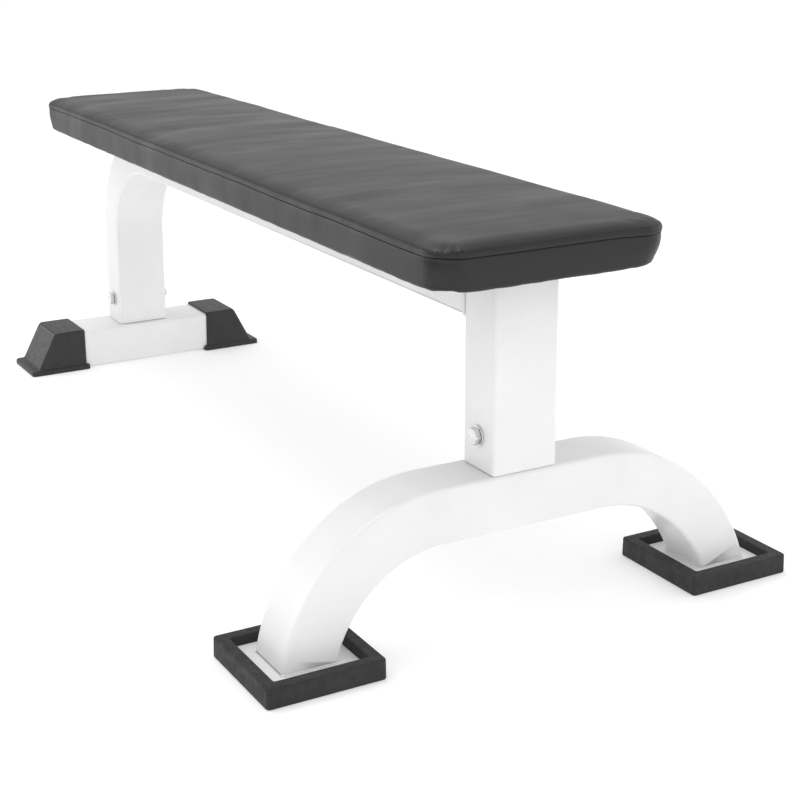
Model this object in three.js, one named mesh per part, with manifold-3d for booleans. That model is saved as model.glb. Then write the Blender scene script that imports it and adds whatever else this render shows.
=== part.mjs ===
// A flat weight bench: one bent box-section beam that turns down into the rear leg, a front upright on an
// arched front foot, rubber cups and plastic end caps on the floor, and a sewn pad bolted on top.
// Millimetres, +Z up, +X towards the arched front foot, origin at the middle of the footprint on the floor.
import * as THREE from "three";
import { mergeVertices } from "three/addons/utils/BufferGeometryUtils.js";
import Module from "manifold-3d";

const wasm = await Module();
wasm.setup();

// ---- driving dimensions -------------------------------------------------------------------------------
const GAP = 0.3; // clearance between pieces that rest on each other
const HALF_LENGTH = 629.5; // pad's front end to the rear caps' flange, halved
const PAD_OVERHANG = 59.5; // pad beyond the front upright
const FRONT_X = HALF_LENGTH - PAD_OVERHANG; // front face of the upright and of the arch's crown

const TUBE_WIDE = 80; // box section, across the bench
const TUBE_DEEP = 60; // box section, in the plane of the bends
const TUBE_WALL = 2.5;
const TUBE_CORNER = 4.5; // outer corner radius of the box section

const BEAM_TOP = 390;
const BEND_RADIUS = 150; // centre line of the rear bend
const REAR_REACH = 47.75; // half the rear cap's flange, along X
const REAR_X = -HALF_LENGTH + REAR_REACH; // middle of the rear leg and rear foot

const ARCH_TUBE = 60; // section of the arched foot, in the plane of its bends
const ARCH_DEEP = 66; // and along the bench
const ARCH_TOP = 168;
const ARCH_FLAT = 100; // half the straight crown
const ARCH_RADIUS = 170; // centre line of each shoulder
const ARCH_LEAN = 0.1; // how far the arch moves forward for each millimetre below its crown
const ARCH_SWEEP = THREE.MathUtils.degToRad(86); // each shoulder before its end is cut level

const FOOT_X = FRONT_X - 17; // middle of each front rubber foot
const FOOT_Y = 261;
const FOOT_SIZE = 133; // square
const FOOT_TALL = 22.5;
const FOOT_RIM = 14.5;
const FOOT_SOLE = 8;
const PLATE_THICK = 4;

const REAR_TUBE_BASE = 1.8;
const REAR_TUBE_TOP = REAR_TUBE_BASE + TUBE_DEEP;
const CAP_INNER_Y = 106; // where the cap's sleeve starts
const CAP_TOP_Y = 156; // where its flat top ends
const CAP_TOE_Y = 185; // where its slope meets the flange
const CAP_END_Y = 198; // end of the flange
const CAP_TOP = 65.3;
const CAP_FLANGE = 8;
const CAP_HALF = 44; // half the cap's body, along X

const SPIGOT_TALL = 80;
const LEG_BOLT_RISE = 38; // leg bolts above the bottom of each leg
const M10 = { shank: 5, across: 17, head: 5.6, nut: 7.6, washer: 11.5, washerThick: 1.6, tip: 51.6 };
const M8 = { shank: 4, across: 13, head: 5.3, washer: 10, washerThick: 1.6 };

const PAD_TALL = 49.7;
const PAD_BASE = BEAM_TOP + GAP;
const PAD_TOP = PAD_BASE + PAD_TALL;
const PAD_REAR = FRONT_X - 1182;
const PAD_FRONT = FRONT_X + PAD_OVERHANG;
const PAD_WIDE_FRONT = 282;
const PAD_WIDE_REAR = 266;
const PAD_CORNER = 35;
const PAD_EDGE = 8; // rounding of the pad's long edges
const COVER_THICK = 1.8;
const COVER_FOLD = 30; // width of the cover folded under the board
const BOARD_INSET = 9;
const BOARD_THICK = 15;
const BOARD_BASE = PAD_BASE + COVER_THICK + GAP;
const BOARD_TOP = BOARD_BASE + BOARD_THICK;
const PAD_BOLT_Y = 62;
const PAD_BOLT_X = [FRONT_X - 170, FRONT_X - 950];
const BRACKET = { long: 40, out: 80, drop: 36, thick: 3 };

// ---- materials ----------------------------------------------------------------------------------------
const finish = (color, roughness, metalness = 0) => new THREE.MeshStandardMaterial({ color, roughness, metalness });
const paint = finish(0xeeeeee, 0.35);
const zinc = finish(0xb9bcc0, 0.3, 1);
const rubber = finish(0x2b2b2c, 0.75);
const capPlastic = finish(0x2a2a2b, 0.6);
const vinyl = finish(0x2c2c2e, 0.5);
const foam = finish(0xd8cfae, 0.95);
const plywood = finish(0xb38b5d, 0.8);
const dustCloth = finish(0x1d1d1f, 0.95);

const bench = new THREE.Group();
function add(name, geometry, material) {
  const mesh = new THREE.Mesh(geometry, material);
  mesh.name = name;
  bench.add(mesh);
}

// ---- solids -------------------------------------------------------------------------------------------
function toSolid(geometry) {
  const bare = geometry.clone();
  bare.deleteAttribute("normal");
  bare.deleteAttribute("uv");
  const merged = mergeVertices(bare, 1e-4);
  return new wasm.Manifold(
    new wasm.Mesh({
      numProp: 3,
      vertProperties: new Float32Array(merged.attributes.position.array),
      triVerts: new Uint32Array(merged.index.array),
    }),
  );
}

function toGeometry(solid) {
  const mesh = solid.getMesh();
  const geometry = new THREE.BufferGeometry();
  geometry.setAttribute("position", new THREE.BufferAttribute(mesh.vertProperties, 3));
  geometry.setIndex(new THREE.BufferAttribute(mesh.triVerts, 1));
  return geometry;
}

const cut = (geometry, ...tools) =>
  toGeometry(tools.reduce((solid, tool) => solid.subtract(toSolid(tool)), toSolid(geometry)));
const join = (geometry, ...others) =>
  toGeometry(others.reduce((solid, other) => solid.add(toSolid(other)), toSolid(geometry)));

// A rounded rectangle about the origin, counter-clockwise.
function roundedRectangle(width, height, radius) {
  const x = width / 2 - radius;
  const y = height / 2 - radius;
  const shape = new THREE.Shape();
  shape.absarc(x, y, radius, 0, Math.PI / 2);
  shape.absarc(-x, y, radius, Math.PI / 2, Math.PI);
  shape.absarc(-x, -y, radius, Math.PI, 1.5 * Math.PI);
  shape.absarc(x, -y, radius, 1.5 * Math.PI, 2 * Math.PI);
  return shape;
}

// A shape in X and Y raised from one height to another, with its edges rounded inwards by bevel.
function prism(shape, low, high, bevel = 0, curveSegments = 3) {
  const geometry = new THREE.ExtrudeGeometry(shape, {
    depth: high - low - 2 * bevel,
    curveSegments,
    bevelEnabled: bevel > 0,
    bevelSize: bevel,
    bevelOffset: -bevel,
    bevelThickness: bevel,
    bevelSegments: 2,
  });
  return geometry.translate(0, 0, low + bevel);
}

const box = (x0, x1, y0, y1, z0, z1) =>
  new THREE.BoxGeometry(x1 - x0, y1 - y0, z1 - z0).translate((x0 + x1) / 2, (y0 + y1) / 2, (z0 + z1) / 2);

// A cylinder along Z, from one height to another.
const post = (radius, low, high, segments = 20) =>
  new THREE.CylinderGeometry(radius, radius, high - low, segments)
    .rotateX(Math.PI / 2)
    .translate(0, 0, (low + high) / 2);

const hexagon = (across, low, high) => post(across / Math.sqrt(3), low, high, 6);

// A hollow box-section tube through a list of frames. Each frame maps the section's X and Y, at its Z = 0,
// to a place on the tube.
function hollowTube(frames, width, height, corner, wall, segments = 2) {
  const outer = roundedRectangle(width, height, corner).getPoints(segments);
  const inner = roundedRectangle(width - 2 * wall, height - 2 * wall, corner - wall).getPoints(segments);
  const loops = [outer, inner].map(openLoop);
  const count = loops[0].length;
  const position = [];
  for (const frame of frames)
    for (const loop of loops)
      for (const p of loop) position.push(...new THREE.Vector3(p.x, p.y, 0).applyMatrix4(frame).toArray());
  const at = (station, loop, i) => (station * 2 + loop) * count + (i % count);
  const index = [];
  const quad = (a, b, c, d) => index.push(a, b, c, a, c, d);
  const last = frames.length - 1;
  for (let i = 0; i < count; i++) {
    for (let s = 0; s < last; s++) {
      quad(at(s, 0, i), at(s, 0, i + 1), at(s + 1, 0, i + 1), at(s + 1, 0, i));
      quad(at(s, 1, i + 1), at(s, 1, i), at(s + 1, 1, i), at(s + 1, 1, i + 1));
    }
    quad(at(0, 1, i), at(0, 1, i + 1), at(0, 0, i + 1), at(0, 0, i));
    quad(at(last, 0, i), at(last, 0, i + 1), at(last, 1, i + 1), at(last, 1, i));
  }
  const geometry = new THREE.BufferGeometry();
  geometry.setAttribute("position", new THREE.Float32BufferAttribute(position, 3));
  geometry.setIndex(index);
  return geometry;
}

// Drops points that repeat, the closing one included.
function openLoop(points) {
  const near = (a, b) => a.distanceTo(b) < 1e-6;
  return points.filter((p, i) => !near(p, points[(i + 1) % points.length]));
}

// A frame from the section's X and Y directions, its direction of travel and its place.
const frame = (x, y, travel, place) => new THREE.Matrix4().makeBasis(x, y, travel).setPosition(place);
const vec = (x, y, z) => new THREE.Vector3(x, y, z);

// ---- bent beam and rear leg ---------------------------------------------------------------------------
const BEAM_MID = BEAM_TOP - TUBE_DEEP / 2;
const UPRIGHT_REAR = FRONT_X - TUBE_DEEP;
const LEG_BASE = REAR_TUBE_TOP + GAP;
const BEND_STEPS = 12;

function beamFrames() {
  const across = vec(0, 1, 0);
  const at = (angle, place) =>
    frame(across, vec(-Math.sin(angle), 0, Math.cos(angle)), vec(Math.cos(angle), 0, Math.sin(angle)), place);
  const centre = vec(REAR_X + BEND_RADIUS, 0, BEAM_MID - BEND_RADIUS);
  const frames = [at(Math.PI / 2, vec(REAR_X, 0, LEG_BASE))];
  for (let i = 0; i <= BEND_STEPS; i++) {
    const angle = ((1 - i / BEND_STEPS) * Math.PI) / 2;
    const arm = vec(-Math.sin(angle), 0, Math.cos(angle)).multiplyScalar(BEND_RADIUS);
    frames.push(at(angle, centre.clone().add(arm)));
  }
  frames.push(at(0, vec(UPRIGHT_REAR - GAP, 0, BEAM_MID)));
  return frames;
}

// A hole across the bench, along Y.
const crossHole = (x, z, radius) => post(radius, -60, 60).rotateX(Math.PI / 2).translate(x, 0, z);

const FRONT_BOLT = { x: FRONT_X - TUBE_DEEP / 2, z: ARCH_TOP + LEG_BOLT_RISE };
const REAR_BOLT = { x: REAR_X, z: LEG_BASE + LEG_BOLT_RISE };
const M10_HOLE = M10.shank + 0.5;

const beam = hollowTube(beamFrames(), TUBE_WIDE, TUBE_DEEP, TUBE_CORNER, TUBE_WALL);
add("main_beam", cut(beam, crossHole(REAR_BOLT.x, REAR_BOLT.z, M10_HOLE)), paint);

// ---- front upright ------------------------------------------------------------------------------------
// A straight tube standing on the XY plane's X (depth) and Y (width).
function standingTube(x, deep, wide, corner, wall, low, high) {
  const at = (z) => frame(vec(1, 0, 0), vec(0, 1, 0), vec(0, 0, 1), vec(x, 0, z));
  return hollowTube([at(low), at(high)], deep, wide, corner, wall);
}

const UPRIGHT_X = FRONT_X - TUBE_DEEP / 2;

const UPRIGHT_BASE = ARCH_TOP + GAP;

const upright = standingTube(UPRIGHT_X, TUBE_DEEP, TUBE_WIDE, TUBE_CORNER, TUBE_WALL, UPRIGHT_BASE, BEAM_TOP);
add("front_upright", cut(upright, crossHole(FRONT_BOLT.x, FRONT_BOLT.z, M10_HOLE)), paint);

const INNER_DEEP = TUBE_DEEP - 2 * TUBE_WALL;
const INNER_WIDE = TUBE_WIDE - 2 * TUBE_WALL;
const plug = roundedRectangle(INNER_DEEP - 2 * GAP, INNER_WIDE - 2 * GAP, TUBE_CORNER - TUBE_WALL);
const topPlate = prism(plug, BEAM_TOP - 3, BEAM_TOP).translate(UPRIGHT_X, 0, 0);
add("upright_top_plate", topPlate, paint);

function spigot(x, low, high) {
  return standingTube(x, INNER_DEEP - 2 * GAP, INNER_WIDE - 2 * GAP, 3, TUBE_WALL - 0.5, low, high);
}
const frontSpigot = spigot(UPRIGHT_X, UPRIGHT_BASE, UPRIGHT_BASE + SPIGOT_TALL);
add("front_spigot", cut(frontSpigot, crossHole(FRONT_BOLT.x, FRONT_BOLT.z, M10_HOLE)), paint);
const rearSpigot = spigot(REAR_X, LEG_BASE, LEG_BASE + SPIGOT_TALL);
add("rear_spigot", cut(rearSpigot, crossHole(REAR_BOLT.x, REAR_BOLT.z, M10_HOLE)), paint);

// ---- arched front foot --------------------------------------------------------------------------------
const PLATE_TOP = FOOT_SOLE + GAP + PLATE_THICK;
const ARCH_STEPS = 10;

function archFrames() {
  const centreZ = ARCH_TOP - ARCH_TUBE / 2 - ARCH_RADIUS;
  const midX = FRONT_X - ARCH_DEEP / 2;
  const forward = vec(1, 0, 0);
  const shoulder = (side) => {
    const frames = [];
    for (let i = 0; i <= ARCH_STEPS; i++) {
      const angle = ARCH_SWEEP * (1 - i / ARCH_STEPS);
      const out = vec(0, side * Math.sin(angle), Math.cos(angle));
      const place = vec(midX, side * ARCH_FLAT, centreZ).add(out.clone().multiplyScalar(ARCH_RADIUS));
      frames.push(frame(forward, out, new THREE.Vector3().crossVectors(forward, out), place));
    }
    return side > 0 ? frames : frames.reverse();
  };
  return [...shoulder(1), ...shoulder(-1)];
}

// Leans a shape forward below the crown, which stays level.
function lean(geometry) {
  const shear = new THREE.Matrix4().makeShear(0, 0, 0, 0, -ARCH_LEAN, 0);
  return geometry.translate(0, 0, -ARCH_TOP).applyMatrix4(shear).translate(0, 0, ARCH_TOP);
}

const arch = lean(hollowTube(archFrames(), ARCH_DEEP, ARCH_TUBE, TUBE_CORNER, TUBE_WALL));
const underPlates = box(FRONT_X - 200, FRONT_X + 150, -400, 400, -60, PLATE_TOP + GAP);
add("front_foot_arch", cut(arch, underPlates), paint);

const RECESS_SIZE = FOOT_SIZE - 2 * FOOT_RIM;
for (const [name, side] of [["left", -1], ["right", 1]]) {
  const recess = roundedRectangle(RECESS_SIZE, RECESS_SIZE, 3);
  const plate = roundedRectangle(RECESS_SIZE - 2 * GAP, RECESS_SIZE - 2 * GAP, 2.5);
  const cup = prism(roundedRectangle(FOOT_SIZE, FOOT_SIZE, 6), 0, FOOT_TALL, 1.5);
  const hollow = cut(cup, prism(recess, FOOT_SOLE, FOOT_TALL + 5));
  add(`rubber_foot_${name}`, hollow.translate(FOOT_X, side * FOOT_Y, 0), rubber);
  const steel = prism(plate, FOOT_SOLE + GAP, PLATE_TOP);
  add(`front_foot_plate_${name}`, steel.translate(FOOT_X, side * FOOT_Y, 0), paint);
}

// ---- rear foot and its end caps -----------------------------------------------------------------------
const CAP_POCKET_Y = 158;
const rearTubeEnd = CAP_POCKET_Y - GAP;

// A lying tube along Y, its section's X along the bench.
function lyingTube(halfSpan, deep, tall, corner, wall, midZ) {
  const at = (y) => frame(vec(1, 0, 0), vec(0, 0, -1), vec(0, 1, 0), vec(REAR_X, y, midZ));
  return hollowTube([at(-halfSpan), at(halfSpan)], deep, tall, corner, wall);
}
const REAR_TUBE_MID = REAR_TUBE_BASE + TUBE_DEEP / 2;
const rearTube = lyingTube(rearTubeEnd, TUBE_WIDE, TUBE_DEEP, TUBE_CORNER, TUBE_WALL, REAR_TUBE_MID);
add("rear_foot_tube", rearTube, paint);

function endCap(side) {
  // The side view, with X across the bench and Y up, raised along the bench.
  const profile = new THREE.Shape([
    new THREE.Vector2(CAP_INNER_Y, 0),
    new THREE.Vector2(CAP_TOE_Y, 0),
    new THREE.Vector2(CAP_TOE_Y, CAP_FLANGE),
    new THREE.Vector2(CAP_TOP_Y, CAP_TOP),
    new THREE.Vector2(CAP_INNER_Y, CAP_TOP),
  ]);
  const body = prism(profile, -CAP_HALF, CAP_HALF, 1.5).rotateX(Math.PI / 2).rotateZ(Math.PI / 2);
  const flangeInner = CAP_INNER_Y - 5;
  const flangeMid = (flangeInner + CAP_END_Y) / 2;
  const sole = roundedRectangle(2 * REAR_REACH, CAP_END_Y - flangeInner, 5);
  const flange = prism(sole, 0, CAP_FLANGE, 1).translate(0, flangeMid, 0);
  const pocket = roundedRectangle(TUBE_WIDE + 2 * GAP, TUBE_DEEP + 2 * GAP, TUBE_CORNER + GAP);
  const core = prism(pocket, 0, CAP_POCKET_Y)
    .rotateX(-Math.PI / 2)
    .translate(0, 0, REAR_TUBE_MID);
  return cut(join(body, flange), core)
    .rotateZ(side > 0 ? 0 : Math.PI)
    .translate(REAR_X, 0, 0);
}
add("rear_end_cap_left", endCap(-1), capPlastic);
add("rear_end_cap_right", endCap(1), capPlastic);

// ---- leg bolts ----------------------------------------------------------------------------------------
const SIDE = TUBE_WIDE / 2;
// Pieces made along +Z are laid along Y, and the head's side is -Y.
const acrossAt = (geometry, { x, z }) => geometry.rotateX(-Math.PI / 2).translate(x, 0, z);

function legFastener(prefix, place) {
  const face = SIDE + GAP;
  const seat = face + M10.washerThick + GAP;
  const head = hexagon(M10.across, -seat - M10.head, -seat);
  const shank = post(M10.shank, -seat - 1, M10.tip);
  add(`${prefix}_bolt`, acrossAt(join(head, shank), place), zinc);
  const hole = () => post(M10.shank + GAP, -80, 80);
  const washerHead = cut(post(M10.washer, -face - M10.washerThick, -face), hole());
  const washerNut = cut(post(M10.washer, face, face + M10.washerThick), hole());
  add(`${prefix}_head_washer`, acrossAt(washerHead, place), zinc);
  add(`${prefix}_nut_washer`, acrossAt(washerNut, place), zinc);
  const nut = cut(hexagon(M10.across, seat, seat + M10.nut), hole());
  add(`${prefix}_lock_nut`, acrossAt(nut, place), zinc);
}
legFastener("front_leg", FRONT_BOLT);
legFastener("rear_leg", REAR_BOLT);

// ---- pad ----------------------------------------------------------------------------------------------
// The pad's plan, a little narrower towards the rear, drawn in by inset.
function padPlan(inset) {
  const r = PAD_CORNER - inset * 0.8;
  const x0 = PAD_REAR + inset + r;
  const x1 = PAD_FRONT - inset - r;
  const rear = PAD_WIDE_REAR / 2 - inset - r;
  const front = PAD_WIDE_FRONT / 2 - inset - r;
  const shape = new THREE.Shape();
  shape.absarc(x1, front, r, 0, Math.PI / 2);
  shape.absarc(x0, rear, r, Math.PI / 2, Math.PI);
  shape.absarc(x0, -rear, r, Math.PI, 1.5 * Math.PI);
  shape.absarc(x1, -front, r, 1.5 * Math.PI, 2 * Math.PI);
  return shape;
}

const PLAN_STEPS = 6;
const boltPlaces = PAD_BOLT_X.flatMap((x) => [-1, 1].map((side) => ({ x, y: side * PAD_BOLT_Y, side })));
const boltHoles = (radius, low, high) => boltPlaces.map(({ x, y }) => post(radius, low, high).translate(x, y, 0));

const coverInside = prism(
  padPlan(COVER_THICK),
  PAD_BASE + COVER_THICK,
  PAD_TOP - COVER_THICK,
  PAD_EDGE - COVER_THICK,
  PLAN_STEPS,
);
const coverWindow = prism(padPlan(COVER_FOLD), PAD_BASE - 5, PAD_BASE + 5, 0, PLAN_STEPS);
const coverOutside = prism(padPlan(0), PAD_BASE, PAD_TOP, PAD_EDGE, PLAN_STEPS);
add("pad_cover", cut(coverOutside, coverInside, coverWindow), vinyl);

const FOAM_INSET = COVER_THICK + GAP;
const foamBlock = prism(padPlan(FOAM_INSET), BOARD_BASE, PAD_TOP - FOAM_INSET, PAD_EDGE - FOAM_INSET, PLAN_STEPS);
const boardRoom = prism(padPlan(BOARD_INSET - GAP), BOARD_BASE - 5, BOARD_TOP + GAP, 0, PLAN_STEPS);
add("pad_foam", cut(foamBlock, boardRoom), foam);

const TEE = { barrel: 5, flange: 10, flangeThick: 1.5, depth: 11 };
const board = prism(padPlan(BOARD_INSET), BOARD_BASE, BOARD_TOP, 0, PLAN_STEPS);
const barrelHoles = boltHoles(TEE.barrel + GAP, BOARD_BASE - 5, BOARD_TOP + 5);
const flangeHoles = boltHoles(TEE.flange + 0.5, BOARD_TOP - TEE.flangeThick - GAP, BOARD_TOP + 5);
add("pad_board", cut(board, ...barrelHoles, ...flangeHoles), plywood);

const dustPlan = padPlan(COVER_FOLD + GAP);
const dustSheet = prism(dustPlan, PAD_BASE + 0.7, BOARD_BASE - GAP, 0, PLAN_STEPS);
add("pad_dust_cover", cut(dustSheet, ...boltHoles(6, PAD_BASE - 5, BOARD_BASE + 5)), dustCloth);

// ---- pad brackets and their fasteners -----------------------------------------------------------------
boltPlaces.forEach(({ x, y, side }) => {
  const end = x > 0 ? "front" : "rear";
  const name = `${end}_${side < 0 ? "left" : "right"}`;

  const inner = SIDE + GAP;
  const angle = new THREE.Shape([
    new THREE.Vector2(inner, BEAM_TOP - BRACKET.drop),
    new THREE.Vector2(inner + BRACKET.thick, BEAM_TOP - BRACKET.drop),
    new THREE.Vector2(inner + BRACKET.thick, BEAM_TOP - BRACKET.thick),
    new THREE.Vector2(BRACKET.out, BEAM_TOP - BRACKET.thick),
    new THREE.Vector2(BRACKET.out, BEAM_TOP),
    new THREE.Vector2(inner, BEAM_TOP),
  ]);
  const bar = prism(angle, -BRACKET.long / 2, BRACKET.long / 2).rotateX(Math.PI / 2).rotateZ(Math.PI / 2);
  const turned = bar.rotateZ(side > 0 ? 0 : Math.PI).translate(x, 0, 0);
  const hole = post(M8.shank + 0.5, BEAM_TOP - 20, BEAM_TOP + 20).translate(x, y, 0);
  add(`pad_bracket_${name}`, cut(turned, hole), paint);

  const seat = BEAM_TOP - BRACKET.thick - GAP;
  const washer = cut(
    post(M8.washer, seat - M8.washerThick, seat),
    post(M8.shank + 0.4, seat - 10, seat + 10),
  );
  add(`pad_washer_${name}`, washer.translate(x, y, 0), zinc);

  const headTop = seat - M8.washerThick - GAP;
  const bolt = join(
    hexagon(M8.across, headTop - M8.head, headTop),
    post(M8.shank, headTop - 1, BOARD_TOP - 2),
  );
  add(`pad_bolt_${name}`, bolt.translate(x, y, 0), zinc);

  const tee = join(
    post(TEE.barrel, BOARD_TOP - TEE.depth, BOARD_TOP),
    post(TEE.flange, BOARD_TOP - TEE.flangeThick, BOARD_TOP),
  );
  add(`pad_tee_nut_${name}`, cut(tee, post(M8.shank + GAP, BEAM_TOP, BOARD_TOP + 5)).translate(x, y, 0), zinc);
});

export default bench;
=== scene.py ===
import math
from collections import namedtuple
import bmesh
import bpy
import numpy as np
from mathutils import Matrix, Vector, kdtree, noise


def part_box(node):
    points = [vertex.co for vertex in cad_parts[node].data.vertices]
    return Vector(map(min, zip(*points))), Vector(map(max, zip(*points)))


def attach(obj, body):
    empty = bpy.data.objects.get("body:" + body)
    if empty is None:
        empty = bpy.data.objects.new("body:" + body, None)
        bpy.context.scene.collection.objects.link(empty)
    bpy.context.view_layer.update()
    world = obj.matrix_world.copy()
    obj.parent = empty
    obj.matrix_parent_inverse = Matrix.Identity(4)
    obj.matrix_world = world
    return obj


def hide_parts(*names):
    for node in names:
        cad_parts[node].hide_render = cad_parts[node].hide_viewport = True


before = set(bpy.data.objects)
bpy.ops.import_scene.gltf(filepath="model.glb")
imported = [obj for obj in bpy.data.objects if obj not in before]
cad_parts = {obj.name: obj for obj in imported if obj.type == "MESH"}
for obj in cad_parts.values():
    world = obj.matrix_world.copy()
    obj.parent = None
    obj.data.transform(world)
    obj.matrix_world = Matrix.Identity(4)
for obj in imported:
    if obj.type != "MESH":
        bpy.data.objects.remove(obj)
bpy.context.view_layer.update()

MM = 0.001
TAU = 2 * math.pi
scene = bpy.context.scene

# ---- Places, all read from the frame (metres) ----
UPRIGHT_LOW, UPRIGHT_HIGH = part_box("front_upright")
BEAM_LOW, BEAM_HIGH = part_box("main_beam")
REAR_TUBE_LOW, REAR_TUBE_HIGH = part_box("rear_foot_tube")
PAD_LOW, PAD_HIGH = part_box("pad_cover")
PLATE_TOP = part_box("front_foot_plate_right")[1].z

FRONT_X = UPRIGHT_HIGH.x
TUBE_DEEP = UPRIGHT_HIGH.x - UPRIGHT_LOW.x
TUBE_WIDE = UPRIGHT_HIGH.y - UPRIGHT_LOW.y
TUBE_CORNER = 4.5 * MM
SIDE = TUBE_WIDE / 2
PAD_PLACES = [f"{end}_{side}" for end in ("front", "rear") for side in ("left", "right")]
REAR_X = (REAR_TUBE_LOW.x + REAR_TUBE_HIGH.x) / 2
BEND_RADIUS = 150 * MM  # of the beam into the rear leg, to the middle of the tube
WELD_GAP = 0.9 * MM  # between a tube's end and what it stands on
ARCH_LEAN = 0.1  # forward per metre down
ARCH_TUBE = 60 * MM  # depth in the plane of its bends
ARCH_DEEP = 66 * MM  # along the bench
ARCH_FLAT = 100 * MM  # half of its straight middle
ARCH_RADIUS = 170 * MM
ARCH_TOP = 168 * MM

# ---- Camera, floor and light ----
IMAGE = 800.0
CAMERA_PLACE = Vector((1.9195, -0.9196, 0.7859))
CAMERA_AZIMUTH = math.radians(61.59)  # from -Y towards +X
CAMERA_TILT = math.radians(14.15)
CAMERA_ROLL = math.radians(-0.44)
FOCAL_IN_IMAGE = 1636.33 / IMAGE  # focal length over the image's width
SENSOR = 36.0
SHIFT = (0.0430, -0.1486)


def make_camera():
    back = Vector((
        math.sin(CAMERA_AZIMUTH) * math.cos(CAMERA_TILT),
        -math.cos(CAMERA_AZIMUTH) * math.cos(CAMERA_TILT),
        math.sin(CAMERA_TILT),
    ))
    right = Vector((0, 0, 1)).cross(back).normalized()
    up = back.cross(right)
    rolled_right = math.cos(CAMERA_ROLL) * right + math.sin(CAMERA_ROLL) * up
    rolled_up = -math.sin(CAMERA_ROLL) * right + math.cos(CAMERA_ROLL) * up
    data = bpy.data.cameras.new("camera")
    data.sensor_width = SENSOR
    data.lens = SENSOR * FOCAL_IN_IMAGE
    data.shift_x, data.shift_y = SHIFT
    data.clip_end = 100
    camera = bpy.data.objects.new("camera", data)
    scene.collection.objects.link(camera)
    turn = Matrix((rolled_right, rolled_up, back)).transposed().to_4x4()
    camera.matrix_world = Matrix.Translation(CAMERA_PLACE) @ turn
    scene.camera = camera


def area_light(name, place, target, size, power):
    data = bpy.data.lights.new(name, "AREA")
    data.shape = "RECTANGLE"
    data.size, data.size_y = size
    data.energy = power
    lamp = bpy.data.objects.new(name, data)
    scene.collection.objects.link(lamp)
    lamp.location = place
    lamp.rotation_euler = (Vector(target) - Vector(place)).to_track_quat("-Z", "Y").to_euler()


def make_stage():
    world = bpy.data.worlds.new("studio")
    scene.world = world
    world.use_nodes = True
    background = world.node_tree.nodes["Background"]
    background.inputs["Color"].default_value = (1, 1, 1, 1)
    background.inputs["Strength"].default_value = 0.92
    scene.view_settings.view_transform = "Standard"

    mesh = bpy.data.meshes.new("floor")
    half = 30
    corners = [(-half, -half, 0), (half, -half, 0), (half, half, 0), (-half, half, 0)]
    mesh.from_pydata(corners, [], [(0, 1, 2, 3)])
    floor = bpy.data.objects.new("floor", mesh)
    scene.collection.objects.link(floor)
    floor.location.z = -0.0002
    look = Surface("floor_white")
    look.inputs["Base Color"].default_value = (0.8, 0.8, 0.8, 1)
    look.inputs["Roughness"].default_value = 0.9
    look.inputs["Specular IOR Level"].default_value = 0.0
    look.inputs["Emission Color"].default_value = (1, 1, 1, 1)
    look.inputs["Emission Strength"].default_value = 0.3
    mesh.materials.append(look.material)
    area_light("overhead", (-0.4, -0.6, 2.6), (0, 0, 0.4), (1.6, 1.0), 16)
    area_light("left", (-2.4, -1.9, 0.7), (-0.1, -0.1, 0.35), (2.0, 1.0), 9)
    area_light("right", (0.8, 2.6, 1.2), (0.3, 0, 0.2), (1.6, 1.0), 8)
    area_light("front", (2.8, 0.2, 0.7), (0.5, 0, 0.2), (1.6, 0.8), 4)


# ---- Materials ----
class Surface:
    """A material, with short calls for building its nodes."""

    def __init__(self, name):
        self.material = bpy.data.materials.new(name)
        self.material.use_nodes = True
        self.tree = self.material.node_tree
        self.inputs = self.tree.nodes["Principled BSDF"].inputs
        self.place = self.tree.nodes.new("ShaderNodeTexCoord").outputs["Object"]

    def node(self, kind, **values):
        """A new node. Each value goes to its attribute or, where it has none, to its socket."""
        made = self.tree.nodes.new(kind)
        for key, value in values.items():
            if hasattr(made, key):
                setattr(made, key, value)
            else:
                made.inputs[key.replace("_", " ")].default_value = value
        return made

    def link(self, a, b):
        self.tree.links.new(a, b)

    def feed(self, socket, output):
        self.link(output, self.inputs[socket])

    def scaled(self, scale):
        made = self.node("ShaderNodeVectorMath", operation="MULTIPLY")
        self.link(self.place, made.inputs[0])
        made.inputs[1].default_value = scale
        return made.outputs[0]

    def noise(self, scale, detail=2.0, roughness=0.5, vector=None):
        made = self.node("ShaderNodeTexNoise", Scale=scale, Detail=detail, Roughness=roughness)
        self.link(vector or self.place, made.inputs["Vector"])
        return made.outputs["Fac"]

    def cells(self, scale, feature="F1"):
        made = self.node("ShaderNodeTexVoronoi", feature=feature, Scale=scale)
        self.link(self.place, made.inputs["Vector"])
        return made.outputs["Distance"]

    def span(self, value, low, high):
        """Stretches the usual reach of a noise to low and high."""
        made = self.node("ShaderNodeMapRange", From_Min=0.3, From_Max=0.7, To_Min=low, To_Max=high)
        self.link(value, made.inputs["Value"])
        return made.outputs["Result"]

    def colours(self, value, low, high, start=0.3, end=0.7):
        made = self.node("ShaderNodeValToRGB")
        for element, at, colour in zip(made.color_ramp.elements, (start, end), (low, high)):
            element.position = at
            element.color = (*colour, 1)
        self.link(value, made.inputs["Fac"])
        return made.outputs["Color"]

    def bump(self, height, distance, strength=1.0, normal=None):
        made = self.node("ShaderNodeBump", Strength=strength, Distance=distance)
        self.link(height, made.inputs["Height"])
        if normal is not None:
            self.link(normal, made.inputs["Normal"])
        return made.outputs["Normal"]


def grey(value, tint=0.0):
    return (value, value, value * (1 + tint))


def mottled(name, low, high, scale, detail):
    """A material whose colour varies softly between two colours."""
    look = Surface(name)
    colour = look.colours(look.noise(scale, detail), low, high)
    look.feed("Base Color", colour)
    return look


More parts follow.
